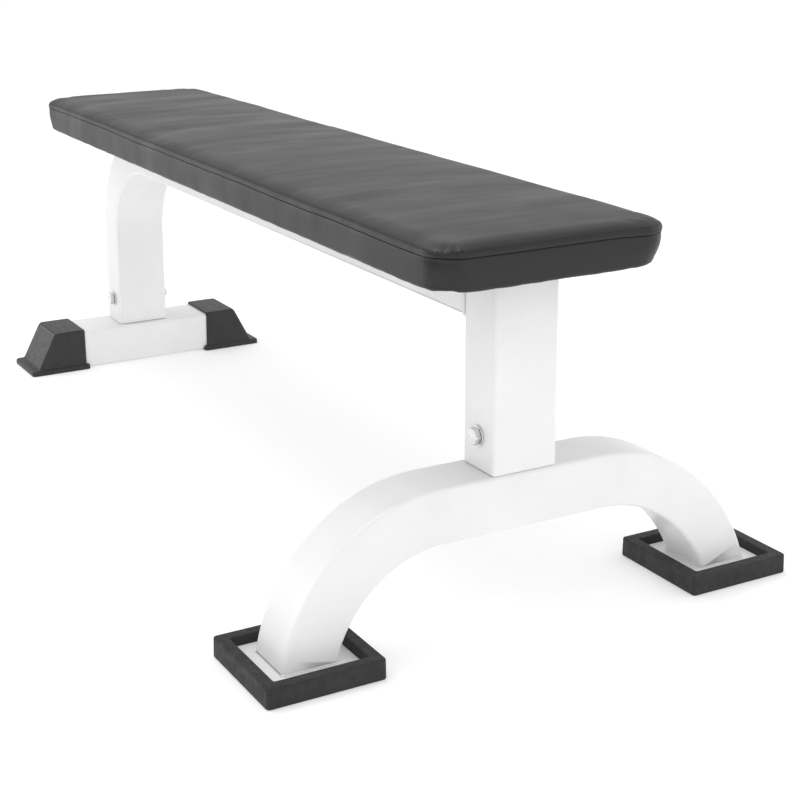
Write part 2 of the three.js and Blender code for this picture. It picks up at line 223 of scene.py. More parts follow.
def paint_material():
    look = mottled("white_powder_coat", grey(0.80), grey(0.845), 14, 3)
    look.feed("Roughness", look.span(look.noise(60, 2), 0.30, 0.40))
    peel = look.bump(look.noise(520, 1.5), 0.00012, 0.6)
    look.feed("Normal", look.bump(look.noise(90, 2), 0.0003, 0.25, peel))
    look.inputs["Coat Weight"].default_value = 0.15
    look.inputs["Coat Roughness"].default_value = 0.2
    return look.material


def zinc_material():
    look = mottled("bright_zinc", grey(0.62, 0.02), grey(0.78, 0.02), 180, 3)
    look.inputs["Metallic"].default_value = 1.0
    look.feed("Roughness", look.span(look.noise(420, 3), 0.16, 0.34))
    look.feed("Normal", look.bump(look.noise(2500, 2), 0.00003, 0.5))
    return look.material


def rubber_material():
    look = mottled("black_rubber", grey(0.014), grey(0.022), 35, 4)
    look.feed("Roughness", look.span(look.noise(120, 3), 0.55, 0.75))
    look.inputs["Specular IOR Level"].default_value = 0.42
    grain = look.bump(look.cells(1100), 0.00008, 0.5)
    look.feed("Normal", look.bump(look.noise(70, 3), 0.0007, 0.25, grain))
    return look.material


def cap_material():
    look = mottled("black_moulded_plastic", grey(0.010), grey(0.016), 30, 3)
    look.feed("Roughness", look.span(look.noise(150, 2), 0.42, 0.54))
    look.feed("Normal", look.bump(look.cells(1500), 0.00006, 0.6))
    return look.material


def vinyl_material():
    look = Surface("black_grained_vinyl")
    streaks = look.noise(1, 3, 0.6, look.scaled((22, 5, 9)))
    look.feed("Base Color", look.colours(streaks, grey(0.008), grey(0.013, 0.03)))
    look.feed("Roughness", look.span(streaks, 0.36, 0.50))
    pores = look.bump(look.cells(950, "SMOOTH_F1"), 0.00016, 0.5)
    grain = look.bump(look.noise(420, 4, 0.6), 0.00018, 0.5, pores)
    look.feed("Normal", look.bump(look.noise(1, 3, 0.55, look.scaled((26, 7, 12))), 0.0012, 0.28, grain))
    look.inputs["Specular IOR Level"].default_value = 0.38
    return look.material


def thread_material():
    look = mottled("black_thread", grey(0.006), grey(0.014), 900, 2)
    look.inputs["Roughness"].default_value = 0.6
    look.inputs["Specular IOR Level"].default_value = 0.3
    look.feed("Normal", look.bump(look.noise(3000, 1), 0.0001, 0.5))
    return look.material


def dust_material():
    look = Surface("black_nonwoven_cloth")
    fibres = look.noise(1, 4, 0.7, look.scaled((900, 1400, 900)))
    look.feed("Base Color", look.colours(fibres, grey(0.012), grey(0.035)))
    look.inputs["Roughness"].default_value = 0.95
    look.feed("Normal", look.bump(fibres, 0.0002, 0.7))
    return look.material


def foam_material():
    look = Surface("upholstery_foam")
    colour = look.colours(look.cells(700), (0.38, 0.32, 0.16), (0.70, 0.63, 0.42), 0.0, 0.5)
    look.feed("Base Color", colour)
    look.inputs["Roughness"].default_value = 0.95
    look.feed("Normal", look.bump(look.cells(700), 0.0006, 0.8))
    return look.material


def plywood_material():
    look = Surface("plywood")
    grain = look.noise(1, 6, 0.6, look.scaled((8, 120, 60)))
    colour = look.colours(grain, (0.36, 0.23, 0.12), (0.58, 0.42, 0.25))
    look.feed("Base Color", colour)
    look.inputs["Roughness"].default_value = 0.75
    look.feed("Normal", look.bump(grain, 0.0003, 0.5))
    return look.material


def nylon_material():
    look = mottled("blue_grey_nylon", (0.20, 0.24, 0.30), (0.26, 0.30, 0.36), 300, 2)
    look.inputs["Roughness"].default_value = 0.45
    look.feed("Normal", look.bump(look.noise(1800, 1), 0.00005, 0.4))
    return look.material


PAINT = paint_material()
ZINC = zinc_material()
RUBBER = rubber_material()
CAP = cap_material()
VINYL = vinyl_material()
THREAD = thread_material()
DUST = dust_material()
FOAM = foam_material()
PLYWOOD = plywood_material()
NYLON = nylon_material()

# ---- Mesh helpers ----
def make_mesh(name, points, faces):
    mesh = bpy.data.meshes.new(name)
    mesh.from_pydata([tuple(p) for p in points], [], faces)
    mesh.update()
    return mesh


def outward(mesh, turn=True):
    """Joins points that coincide and, if asked, turns the faces to look outwards."""
    work = bmesh.new()
    work.from_mesh(mesh)
    bmesh.ops.remove_doubles(work, verts=work.verts, dist=1e-7)
    if turn:
        bmesh.ops.recalc_face_normals(work, faces=work.faces)
    work.to_mesh(mesh)
    work.free()
    mesh.update()


def piece(name, mesh, material, replaces=(), flat_normals=True, turn=True):
    """An object that rides on the root body and stands for the CAD nodes it replaces.

    flat_normals keeps the shading of flat faces flat, and turn lets its faces be turned outwards.
    """
    outward(mesh, turn)
    mesh.shade_smooth()
    mesh.materials.append(material)
    made = bpy.data.objects.new(name, mesh)
    scene.collection.objects.link(made)
    if flat_normals:
        weigh = made.modifiers.new("normals", "WEIGHTED_NORMAL")
        weigh.weight = 80
    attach(made, "root")
    if replaces:
        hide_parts(*replaces)
    return made


def rounded_section(width, height, radius, steps=6):
    """Points of a rounded rectangle about the origin, counter-clockwise."""
    radius = max(radius, 1e-5)
    points = []
    for i, (sx, sy) in enumerate(((1, 1), (-1, 1), (-1, -1), (1, -1))):
        for k in range(steps + 1):
            a = (i + k / steps) * math.pi / 2
            x = sx * (width / 2 - radius) + radius * math.cos(a)
            y = sy * (height / 2 - radius) + radius * math.sin(a)
            points.append((x, y))
    return points


def tube_faces(rows, count, closed=False, first=0):
    """Faces of a tube through rings of points: it closes on itself, or has a face at each end."""
    faces = []
    for k in range(rows if closed else rows - 1):
        a, b = first + k * count, first + (k + 1) % rows * count
        faces += [(a + i, a + (i + 1) % count, b + (i + 1) % count, b + i) for i in range(count)]
    if not closed:
        faces.append(tuple(first + i for i in reversed(range(count))))
        faces.append(tuple(first + (rows - 1) * count + i for i in range(count)))
    return faces


def loft(name, rings, closed=False):
    """A closed solid through rings of the same number of points."""
    points = [p for ring in rings for p in ring]
    return make_mesh(name, points, tube_faces(len(rings), len(rings[0]), closed))


def box_ring(x0, x1, y0, y1, radius, z, steps=6):
    cx, cy = (x0 + x1) / 2, (y0 + y1) / 2
    return [(cx + x, cy + y, z) for x, y in rounded_section(x1 - x0, y1 - y0, radius, steps)]


def place_section(section, origin, x_axis, y_axis):
    origin, x_axis, y_axis = Vector(origin), Vector(x_axis), Vector(y_axis)
    return [origin + x * x_axis + y * y_axis for x, y in section]


def evaluated(obj):
    return obj.evaluated_get(bpy.context.evaluated_depsgraph_get())


def subtract(obj, cutter):
    """Cuts the cutter out of obj and removes the cutter."""
    step = obj.modifiers.new("cut", "BOOLEAN")
    step.operation = "DIFFERENCE"
    step.solver = "EXACT"
    step.object = cutter
    bpy.context.view_layer.update()
    result = bpy.data.meshes.new_from_object(evaluated(obj))
    obj.modifiers.remove(step)
    obj.data = result
    bpy.data.objects.remove(cutter)


def loose(name, mesh):
    """A helper object that doesn't stay in the scene."""
    outward(mesh)
    made = bpy.data.objects.new(name, mesh)
    scene.collection.objects.link(made)
    return made


def bead(name, path, radius, closed=False, ripple=2.4 * MM):
    """A weld bead: a round run along a path, with the ripples of a welded seam."""
    path = [Vector(p) for p in path]
    dense = []
    pairs = list(zip(path, path[1:] + ([path[0]] if closed else [])))
    if not closed:
        pairs = pairs[: len(path) - 1]
    for a, b in pairs:
        count = max(1, round((b - a).length / (0.8 * MM)))
        dense += [a.lerp(b, k / count) for k in range(count)]
    if not closed:
        dense.append(path[-1])
    rings, travelled = [], 0.0
    total = len(dense)
    for i, p in enumerate(dense):
        before = dense[i - 1] if i or closed else p
        after = dense[(i + 1) % total] if i + 1 < total or closed else p
        along = (after - before).normalized()
        away = Vector((0.3, 0.2, 1)) if abs(along.z) < 0.9 else Vector((1, 0, 0))
        side = along.cross(away).normalized()
        up = side.cross(along)
        travelled += (p - before).length if i else 0
        swell = 1 + 0.10 * abs(math.sin(math.pi * travelled / ripple)) + 0.06 * noise.noise(p * 300)
        if not closed and i in (0, total - 1):
            swell *= 0.3
        angles = np.linspace(0, TAU, 12, False)
        rings.append([p + radius * swell * (math.cos(a) * side + math.sin(a) * up) for a in angles])
    return loft(name, rings, closed)


# ---- Tubes of the frame ----
def beam_and_leg():
    section = rounded_section(TUBE_WIDE, TUBE_DEEP, TUBE_CORNER)
    mid = BEAM_HIGH.z - TUBE_DEEP / 2
    centre = Vector((REAR_X + BEND_RADIUS, 0, mid - BEND_RADIUS))
    across = (0, 1, 0)
    base = BEAM_LOW.z + 0.3 * MM
    edge = 0.7 * MM
    rings = []
    for inset, rise in ((edge, 0), (0.3 * edge, 0.3 * edge), (0, edge)):
        end = rounded_section(TUBE_WIDE - 2 * inset, TUBE_DEEP - 2 * inset, TUBE_CORNER - inset)
        rings.append(place_section(end, (REAR_X, 0, base + rise), across, (-1, 0, 0)))
    steps = 40
    for i in range(steps + 1):
        a = (1 - i / steps) * math.pi / 2
        out = Vector((-math.sin(a), 0, math.cos(a)))
        rings.append(place_section(section, centre + BEND_RADIUS * out, across, out))
    rings.append(place_section(section, (UPRIGHT_LOW.x, 0, mid), across, (0, 0, 1)))
    piece("beam_and_rear_leg", loft("beam", rings), PAINT, ["main_beam"])


def upright():
    def ring(z, inset=0.0):
        w, d = TUBE_WIDE - 2 * inset, TUBE_DEEP - 2 * inset
        mid = (UPRIGHT_LOW.x + UPRIGHT_HIGH.x) / 2
        return [(mid + x, y, z) for x, y in rounded_section(d, w, TUBE_CORNER - inset)]

    base = ARCH_TOP + WELD_GAP
    edge = 0.8 * MM
    rings = [
        ring(base, edge),
        ring(base + 0.3 * edge, 0.3 * edge),
        ring(base + edge),
        ring(UPRIGHT_HIGH.z - edge),
        ring(UPRIGHT_HIGH.z, edge),
    ]
    nodes = ["front_upright", "upright_top_plate"]
    piece("upright_tube", loft("upright", rings), PAINT, nodes)


def lean(point):
    """The arch leans forward below its crown, which stays level."""
    return Vector((point[0] + ARCH_LEAN * (ARCH_TOP - point[2]), point[1], point[2]))


def arch():
    section = rounded_section(ARCH_DEEP, ARCH_TUBE, TUBE_CORNER)
    centre_z = ARCH_TOP - ARCH_TUBE / 2 - ARCH_RADIUS
    mid_x = FRONT_X - ARCH_DEEP / 2
    floor = PLATE_TOP + WELD_GAP
    steps = 44
    rings = []
    for side in (1, -1):
        shoulder = []
        for i in range(steps + 1):
            a = math.radians(82) * (1 - i / steps)
            out = Vector((0, side * math.sin(a), math.cos(a)))
            place = Vector((mid_x, side * ARCH_FLAT, centre_z)) + ARCH_RADIUS * out
            ring = place_section(section, place, (1, 0, 0), out)
            shoulder.append([lean(level(p, floor, side, centre_z)) for p in ring])
        rings += shoulder if side > 0 else shoulder[::-1]
    piece("arched_foot", loft("arch", rings), PAINT, ["front_foot_arch"])


def level(point, floor, side, centre_z):
    """Draws what would pass through the foot plate back up along its own arc, so the tube ends level."""
    if point.z >= floor:
        return point
    centre = Vector((point.x, side * ARCH_FLAT, centre_z))
    arm = point - centre
    radius = math.hypot(arm.y, arm.z)
    rise = floor - centre_z
    return Vector((point.x, centre.y + side * math.sqrt(max(radius**2 - rise**2, 0)), floor))


def rear_tube():
    section = rounded_section(TUBE_WIDE, REAR_TUBE_HIGH.z - REAR_TUBE_LOW.z, TUBE_CORNER)
    mid = (REAR_TUBE_LOW.z + REAR_TUBE_HIGH.z) / 2
    ends = (REAR_TUBE_LOW.y, -0.1, 0.1, REAR_TUBE_HIGH.y)
    rings = [place_section(section, (REAR_X, y, mid), (1, 0, 0), (0, 0, 1)) for y in ends]
    piece("rear_foot_bar", loft("rear_tube", rings), PAINT, ["rear_foot_tube"])


def beam_weld():
    x = UPRIGHT_LOW.x - 0.5 * MM
    low = BEAM_HIGH.z - TUBE_DEEP
    r = TUBE_CORNER
    path = [(x, -SIDE, BEAM_HIGH.z - 6 * MM), (x, -SIDE, low + r)]
    for k in range(1, 5):
        a = math.pi + k / 5 * math.pi / 2
        path.append((x, -SIDE + r + r * math.cos(a), low + r + r * math.sin(a)))
    path.append((x, -SIDE + r, low))
    path += [(p[0], -p[1], p[2]) for p in reversed(path)]
    piece("beam_weld", bead("beam_weld", path, 2.2 * MM), PAINT, flat_normals=False)


def foot_welds():
    z = PLATE_TOP + 0.5 * MM
    for name, side in (("left", -1), ("right", 1)):
        rise = PLATE_TOP - (ARCH_TOP - ARCH_TUBE / 2 - ARCH_RADIUS)
        outer = ARCH_FLAT + math.sqrt((ARCH_RADIUS + ARCH_TUBE / 2) ** 2 - rise**2)
        inner = ARCH_FLAT + math.sqrt((ARCH_RADIUS - ARCH_TUBE / 2) ** 2 - rise**2)
        shift = ARCH_LEAN * (ARCH_TOP - PLATE_TOP)
        x0, x1 = FRONT_X - ARCH_DEEP + shift, FRONT_X + shift
        y0, y1 = sorted((side * inner, side * outer))
        steps = 6
        ring = box_ring(x0 + 0.3 * MM, x1 - 0.3 * MM, y0, y1, TUBE_CORNER, z, steps)
        cut = (steps + 1) * (1 if side > 0 else 3)
        made = bead("foot_weld", ring[cut:] + ring[:cut], 1.0 * MM)
        piece(f"foot_weld_{name}", made, PAINT, flat_normals=False)


# ---- Feet ----
def ring_from(low, high, inset, corner, z):
    return box_ring(low.x + inset, high.x - inset, low.y + inset, high.y - inset, corner, z)


def rubber_cup(name):
    low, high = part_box(name)
    tall = high.z
    profile = [  # inset from the outside, corner radius, height
        (2.2, 2.6, 0.0), (0.9, 3.6, 0.2), (0.2, 4.2, 0.8), (0.0, 4.4, 1.8), (0.1, 4.4, 10.0),
        (0.3, 4.2, tall / MM - 2.2), (0.5, 4.0, tall / MM - 1.1), (1.0, 3.6, tall / MM - 0.4),
        (1.9, 3.0, tall / MM), (12.6, 2.6, tall / MM), (13.6, 2.4, tall / MM - 0.4),
        (14.0, 2.4, tall / MM - 1.3), (14.6, 2.2, tall / MM - 5.0), (15.0, 2.0, 8.3), (16.0, 1.6, 8.0),
    ]
    rings = [ring_from(low, high, i * MM, c * MM, z * MM) for i, c, z in profile]
    piece(f"{name}_cup", loft(name, rings), RUBBER, [name])


def foot_plate(name):
    low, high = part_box(name)
    e = 0.7 * MM
    inset = 0.4 * MM
    rings = [
        ring_from(low, high, inset + e, 2 * MM, low.z),
        ring_from(low, high, inset, 2.5 * MM, low.z + e),
        ring_from(low, high, inset, 2.5 * MM, high.z - e),
        ring_from(low, high, inset + 0.3 * e, 2.3 * MM, high.z - 0.3 * e),
        ring_from(low, high, inset + e, 2 * MM, high.z),
    ]
    piece(f"{name}_steel", loft(name, rings), PAINT, [name])


def end_cap(name):
    low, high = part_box(name)
    side = 1 if high.y > 0 else -1
    flange = (high.x - low.x) / 2
    mid = (high.x + low.x) / 2

    def ring(half, near, far, corner, z):
        y0, y1 = sorted((side * near * MM, side * far * MM))
        return box_ring(mid - half, mid + half, y0, y1, corner * MM, z * MM)

    body = 44 * MM
    t = high.z / MM
    rings = [  # half length, near and far edge across, corner radius, height
        ring(flange - 1.6 * MM, 102.6, 196.4, 4, 0),
        ring(flange - 0.4 * MM, 101.4, 197.6, 5, 0.5),
        ring(flange, 101, 198, 5.4, 1.6),
        ring(flange - 0.2 * MM, 101.2, 197.8, 5.4, 6.0),
        ring(flange - 0.9 * MM, 101.9, 197.0, 5, 7.4),
        ring(flange - 2.2 * MM, 103.2, 195.6, 4, 8.0),
        ring(body + 1.2 * MM, 105.4, 188.0, 4, 8.3),
        ring(body + 0.2 * MM, 105.8, 185.6, 4, 9.2),
        ring(body, 106, 184.2, 4, 11),
        ring(body - 1.2 * MM, 106.2, 158.4, 4, t - 4.0),
        ring(body - 1.6 * MM, 106.5, 156.6, 4, t - 1.8),
        ring(body - 2.4 * MM, 107.2, 155.2, 3.6, t - 0.6),
        ring(body - 4.2 * MM, 108.8, 153.0, 3, t),
    ]
    made = piece(f"{name}_cover", loft(name, rings), CAP, [name])
    clear = 0.3 * MM
    tube_tall = REAR_TUBE_HIGH.z - REAR_TUBE_LOW.z
    section = rounded_section(TUBE_WIDE + 2 * clear, tube_tall + 2 * clear, TUBE_CORNER)
    z = (REAR_TUBE_LOW.z + REAR_TUBE_HIGH.z) / 2
    ends = sorted((side * 90 * MM, side * (REAR_TUBE_HIGH.y + clear)))
    pocket = [place_section(section, (REAR_X, y, z), (1, 0, 0), (0, 0, 1)) for y in ends]
    subtract(made, loose("pocket", loft("pocket", pocket)))
    made.data.shade_smooth()


# ---- Fasteners ----
def hex_radius(angle, across):
    return across / 2 / math.cos((angle % (math.pi / 3)) - math.pi / 6)


def hex_rings(across, low, high, chamfer_low, chamfer_high, around=72):
    """Rings of a hexagon along +Z with its corners turned off at the ends, like a real nut or bolt head."""
    steps = 14
    turned, slope = across / 2 * 0.95, 1.9
    rings = []
    for k in range(steps + 1):
        z = low + (high - low) * (0.5 - 0.5 * math.cos(math.pi * k / steps))
        limit = across
        if chamfer_high:
            limit = min(limit, turned + (high - z) * slope)
        if chamfer_low:
            limit = min(limit, turned + (z - low) * slope)
        angles = [TAU * i / around for i in range(around)]
        rings.append([(min(hex_radius(a, across), limit), a, z) for a in angles])
    return rings


def revolve(profile, around=72):
    return [[(r, TAU * i / around, z) for i in range(around)] for r, z in profile]


def lay(rings, place, axis):
    """Turns rings of (radius, angle, height) into points about an axis, which is Y or Z."""
    def point(r, a, h):
        u, v = r * math.cos(a), r * math.sin(a)
        if axis == "Y":
            return (place.x + u, place.y + h, place.z + v)
        return (place.x + u, place.y + v, place.z + h)

    return [[point(*values) for values in ring] for ring in rings]


def thread_rings(radius, low, high, pitch, around=48):
    steps = max(2, round((high - low) / (pitch / 6)))
    rings = []
    for k in range(steps + 1):
        z = low + (high - low) * k / steps
        ring = []
        for i in range(around):
            a = TAU * i / around
            saw = abs(((z / pitch + i / around) % 1) * 2 - 1)
            fade = min(1, (high - z) / pitch + 0.2)
            ring.append(((radius - 0.3 * pitch * (1 - saw)) * (0.90 + 0.10 * fade), a, z))
        rings.append(ring)
    return rings


def washer(name, axis):
    low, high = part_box(name)
    centre = (low + high) / 2
    thick = (high - low)[1 if axis == "Y" else 2]
    outer = (high.x - low.x) / 2
    inner = outer * 0.53
    h, e = thick / 2, 0.35 * MM
    profile = [
        (inner, -h + e), (inner + e, -h), (outer - e, -h), (outer - 0.3 * e, -h + 0.3 * e), (outer, -h + e),
        (outer, h - e), (outer - 0.3 * e, h - 0.3 * e), (outer - e, h), (inner + e, h), (inner, h - e),
    ]
    rings = lay(revolve(profile), centre, axis)
    piece(f"{name}_ring", loft(name, rings, closed=True), ZINC, [name])


def bolt(name, axis, shank, across, head, pitch):
    """Hex bolt. Its head is at the low end of its box along the axis."""
    low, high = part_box(name)
    i = 1 if axis == "Y" else 2
    centre = (low + high) / 2
    place = centre.copy()
    place[i] = low[i]
    long = high[i] - low[i]
    plain = long * 0.62
    rings = revolve([(across / 2 * 0.72, 0.12 * MM)]) + hex_rings(across, 0, head, True, False)
    rings += revolve([(shank * 1.12, head), (shank, head + 0.6 * MM), (shank, plain)])
    thread = thread_rings(shank, plain + 0.5 * MM, long, pitch, 72)
    made = loft(name, lay(rings + thread, place, axis))
    piece(f"{name}_hex", made, ZINC, [name])


def lock_nut(name, shank):
    low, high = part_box(name)
    across = high.x - low.x
    place = (low + high) / 2
    place.y = low.y
    tall = high.y - low.y
    body = 0.74 * tall
    hexagon = hex_rings(across, 0, body, True, True)
    collar = revolve([
        (across * 0.455, body), (across * 0.455, tall - 1.4 * MM), (across * 0.44, tall - 0.5 * MM),
        (across * 0.40, tall), (shank + 0.9 * MM, tall), (shank + 0.8 * MM, tall - 0.5 * MM),
        (shank + 0.4 * MM, tall * 0.5), (shank + 0.4 * MM, 0.4 * MM), (shank + 0.8 * MM, 0),
    ])
    rings = lay(hexagon + collar, place, "Y")
    piece(f"{name}_hex", loft(name, rings, closed=True), ZINC, [name])
    inside = shank + 0.15 * MM
    insert = revolve([
        (inside, tall - 1.6 * MM), (inside + 0.6 * MM, tall - 1.6 * MM),
        (inside + 0.6 * MM, tall - 0.2 * MM), (inside, tall - 0.2 * MM),
    ])
    made = loft("insert", lay(insert, place, "Y"), closed=True)
    piece(f"{name}_insert", made, NYLON, flat_normals=False)


def fasteners():
    for leg in ("front_leg", "rear_leg"):
        washer(f"{leg}_head_washer", "Y")
        washer(f"{leg}_nut_washer", "Y")
        bolt(f"{leg}_bolt", "Y", 5 * MM, 17 * MM, 5.6 * MM, 1.5 * MM)
        lock_nut(f"{leg}_lock_nut", 5 * MM)
    for place in PAD_PLACES:
        washer(f"pad_washer_{place}", "Z")
        bolt(f"pad_bolt_{place}", "Z", 4 * MM, 13 * MM, 5.3 * MM, 1.25 * MM)


def bracket(name):
    """A bent angle with rounded edges and a weld at each of its ends."""
    low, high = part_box(name)
    sign = 1 if high.y > 0 else -1
    thick = 3 * MM
    near, far = (low.y, high.y) if sign > 0 else (high.y, low.y)
    near -= sign * 0.2 * MM
    bend = 3.5 * MM
    curve = []
    for k in range(7):
        a = k / 6 * math.pi / 2
        y = near + sign * (thick + bend * (1 - math.sin(a)))
        z = high.z - thick - bend * (1 - math.cos(a))
        curve.append((y, z))
    outline = [(near, low.z), (near + sign * thick, low.z), *reversed(curve)]
    outline += [(far, high.z - thick), (far, high.z), (near, high.z)]
    rings = [[(x, y, z) for y, z in outline] for x in (low.x, high.x)]
    made = piece(f"{name}_angle", loft(name, rings), PAINT, [name], flat_normals=False)
    edge = made.modifiers.new("edge", "BEVEL")
    edge.width = 0.6 * MM
    edge.segments = 2
    edge.limit_method = "ANGLE"
    made.modifiers.new("normals", "WEIGHTED_NORMAL")
    for tag, x in (("a", low.x), ("b", high.x)):
        path = [(x, near + sign * 2 * MM, low.z + 4 * MM), (x, near + sign * 1 * MM, high.z - 8 * MM)]
        run = bead("bracket_weld", path, 1.8 * MM)
        piece(f"{name}_weld_{tag}", run, PAINT, flat_normals=False)


def carried_over():
    looks = {"pad_board": PLYWOOD, "front_spigot": PAINT, "rear_spigot": PAINT}
    looks.update({f"pad_tee_nut_{place}": ZINC for place in PAD_PLACES})
    for name, material in looks.items():
        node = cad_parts[name]
        node.data.materials.clear()
        node.data.materials.append(material)


# ---- The pad ----
REAR_HALF = 133 * MM  # half its width at the rear end
FRONT_HALF = 141 * MM  # and at the front end
SPINE_INSET = FRONT_HALF / MM  # how far in the middle line is, in mm
PLAN_CORNER = 35 * MM
SEAM_Z = 423.5 * MM
TOP_Z = PAD_HIGH.z - 0.6 * MM
BASE_Z = PAD_LOW.z
WINDOW = 31 * MM  # how far the vinyl is turned in under the board


class SoftNoise:
    """Smooth repeatable noise from -1 to 1 on arrays, in two directions."""

    def __init__(self, seed):
        self.grid = np.random.default_rng(seed).uniform(-1, 1, (64, 64))

    def __call__(self, u, v):
        iu, iv = np.floor(u).astype(int), np.floor(v).astype(int)
        fu, fv = u - iu, v - iv
        fu, fv = fu * fu * (3 - 2 * fu), fv * fv * (3 - 2 * fv)

        def at(a, b):
            return self.grid[(iu + a) % 64, (iv + b) % 64]

        low = at(0, 0) * (1 - fu) + at(1, 0) * fu
        high = at(0, 1) * (1 - fu) + at(1, 1) * fu
        return low * (1 - fv) + high * fv


Outline = namedtuple("Outline", "places outs corners runs total")


def pad_outline(spacing):
    """Places, outward directions, corner weights and distances run, round the pad's plan from above."""
    r = PLAN_CORNER
    x0, x1 = PAD_LOW.x + r, PAD_HIGH.x - r
    rear, front = REAR_HALF - r, FRONT_HALF - r
    slant = math.atan2(FRONT_HALF - REAR_HALF, x1 - x0)
    centres = [(x1, front), (x0, rear), (x0, -rear), (x1, -front)]
    stops = [0, math.pi / 2 + slant, math.pi, 1.5 * math.pi - slant, TAU]
    places, outs, corners = [], [], []

    def add(place, angle, corner):
        places.append(place)
        outs.append((math.cos(angle), math.sin(angle)))
        corners.append(corner)

    arc_steps = max(8, round(r * math.pi / 2 / (spacing * 0.75)))
    for i, (cx, cy) in enumerate(centres):
        a0, a1 = stops[i], stops[i + 1]
        for k in range(arc_steps + 1):
            a = a0 + (a1 - a0) * k / arc_steps
            place = (cx + r * math.cos(a), cy + r * math.sin(a))
            add(place, a, 0.30 + 0.70 * math.sin(math.pi * k / arc_steps))
        nx, ny = centres[(i + 1) % 4]
        start, end = places[-1], (nx + r * math.cos(a1), ny + r * math.sin(a1))
        run = math.dist(start, end)
        count = max(2, round(run / spacing))
        for k in range(1, count):
            t = k / count
            place = (start[0] + (end[0] - start[0]) * t, start[1] + (end[1] - start[1]) * t)
            near = min(k, count - k) * run / count
            add(place, a1, 0.30 * math.exp(-near / (14 * MM)))
    places, outs, corners = np.array(places), np.array(outs), np.array(corners)
    steps = np.linalg.norm(np.roll(places, -1, 0) - places, axis=1)
    runs = np.concatenate([[0], np.cumsum(steps)[:-1]])
    return Outline(places, outs, corners, runs, steps.sum())


def spine_of(places):
    """The point on the pad's middle line that each place of the outline looks to."""
    x = np.clip(places[:, 0], PAD_LOW.x + REAR_HALF, PAD_HIGH.x - FRONT_HALF)
    return np.column_stack([x, np.zeros(len(x))])


def inner_plan(outline, inset, straight_in):
    """The outline moved in by straight_in and then drawn on towards the middle line, to an inset."""
    start = outline.places - outline.outs * straight_in
    t = (inset - straight_in) / (FRONT_HALF - straight_in)
    return start * (1 - t) + spine_of(outline.places) * t


def ring_faces(rows, count):
    """Quads between rings of points, facing up where the rings grow outwards."""
    i = np.arange(count)
    j = (i + 1) % count
    strips = []
    for k in range(rows - 1):
        a, b = k * count, (k + 1) * count
        strips.append(np.column_stack([a + i, b + i, b + j, a + j]))
    return np.concatenate(strips)


RUN_TOTAL = pad_outline(4 * MM).total
SEAM_WAVE = SoftNoise(3)
EDGE_WAVE = SoftNoise(5)
TOP_RIPPLE = SoftNoise(7)
FINE_RIPPLE = SoftNoise(11)
PUCKER = SoftNoise(13)
GATHER = SoftNoise(17)


def ease(value):
    value = np.clip(value, 0, 1)
    return value * value * (3 - 2 * value)


def bell(distance, width):
    return np.exp(-((distance / width) ** 2))


def round_edge(noise, run, step, v):
    """Noise along the edge that ends as it begins."""
    last = RUN_TOTAL - run
    share = ease(1 - last / (60 * MM))
    return noise(run / step, v) * (1 - share) + noise(-last / step, v) * share


def seam_height(run):
    """Height of the seam along the edge: a sewn edge is never quite straight."""
    wave = 1.3 * MM * round_edge(SEAM_WAVE, run, 0.12, run * 0)
    return SEAM_Z + wave + 0.5 * MM * round_edge(SEAM_WAVE, run, 0.035, run * 0 + 9.3)


def pad_ring(outline, inset, z):
    return np.column_stack([outline.places - outline.outs * inset[:, None], z])


def inside_depth(x, y):
    """How far a place in plan is inside the pad's outline."""
    middle = (PAD_LOW.x + PAD_HIGH.x) / 2
    half = (PAD_HIGH.x - PAD_LOW.x) / 2
    share = (x - PAD_LOW.x) / (2 * half)
    wide = REAR_HALF + (FRONT_HALF - REAR_HALF) * share
    over_x = np.abs(x - middle) - (half - PLAN_CORNER)
    over_y = np.abs(y) - (wide - PLAN_CORNER)
    outside = np.hypot(np.maximum(over_x, 0), np.maximum(over_y, 0))
    blend = 30 * MM
    both = (over_x + over_y + np.sqrt((over_x - over_y) ** 2 + blend**2)) / 2
    plain = np.maximum(over_x, over_y)
    share = ease((-plain - 2 * MM) / (25 * MM))
    return PLAN_CORNER - outside - np.minimum(plain * (1 - share) + both * share, 0)


ROUND_IN = 25 * MM  # how far in the rounding of the top's edge reaches
# A fold and a few puckers at the front left corner
FOLD_PLACE = np.array([PAD_HIGH.x - PLAN_CORNER * 0.58, -FRONT_HALF + PLAN_CORNER * 0.09])
PUCKER_PLACE = np.array([PAD_HIGH.x - PLAN_CORNER * 0.14, -FRONT_HALF + PLAN_CORNER * 0.50])
STRAIGHT_IN = 22 * MM  # rings further in close on the middle line
TOP_INSETS = list(np.linspace(SPINE_INSET, 50, 22)) + [46, 42, 38, 34.5, 31, 27.5, 24.5, 22]  # mm
EDGE_INSETS = [19, 16, 13.4, 11, 9, 7.2, 5.6, 4.3, 3.2, 2.3, 1.6, 1.0, 0.6, 0.35]  # mm
# Inset, and height over the seam, in mm
SEAM_STEPS = ((0.35, 0.8), (0.7, 0.4), (1.5, 0.12), (1.9, 0.0), (1.6, -0.2), (0.9, -0.6), (0.6, -1.3))
BAND_STEPS = 12
HEM_STEPS = 8
HEM_ROUND = 6.0 * MM  # radius of the lower edge
UNDERCUT = 7.0 * MM  # how far the corners pull in at their foot
TOP_ROWS = len(TOP_INSETS)
SEAM_ROW = TOP_ROWS + len(EDGE_INSETS)
BAND_ROW = SEAM_ROW + len(SEAM_STEPS)


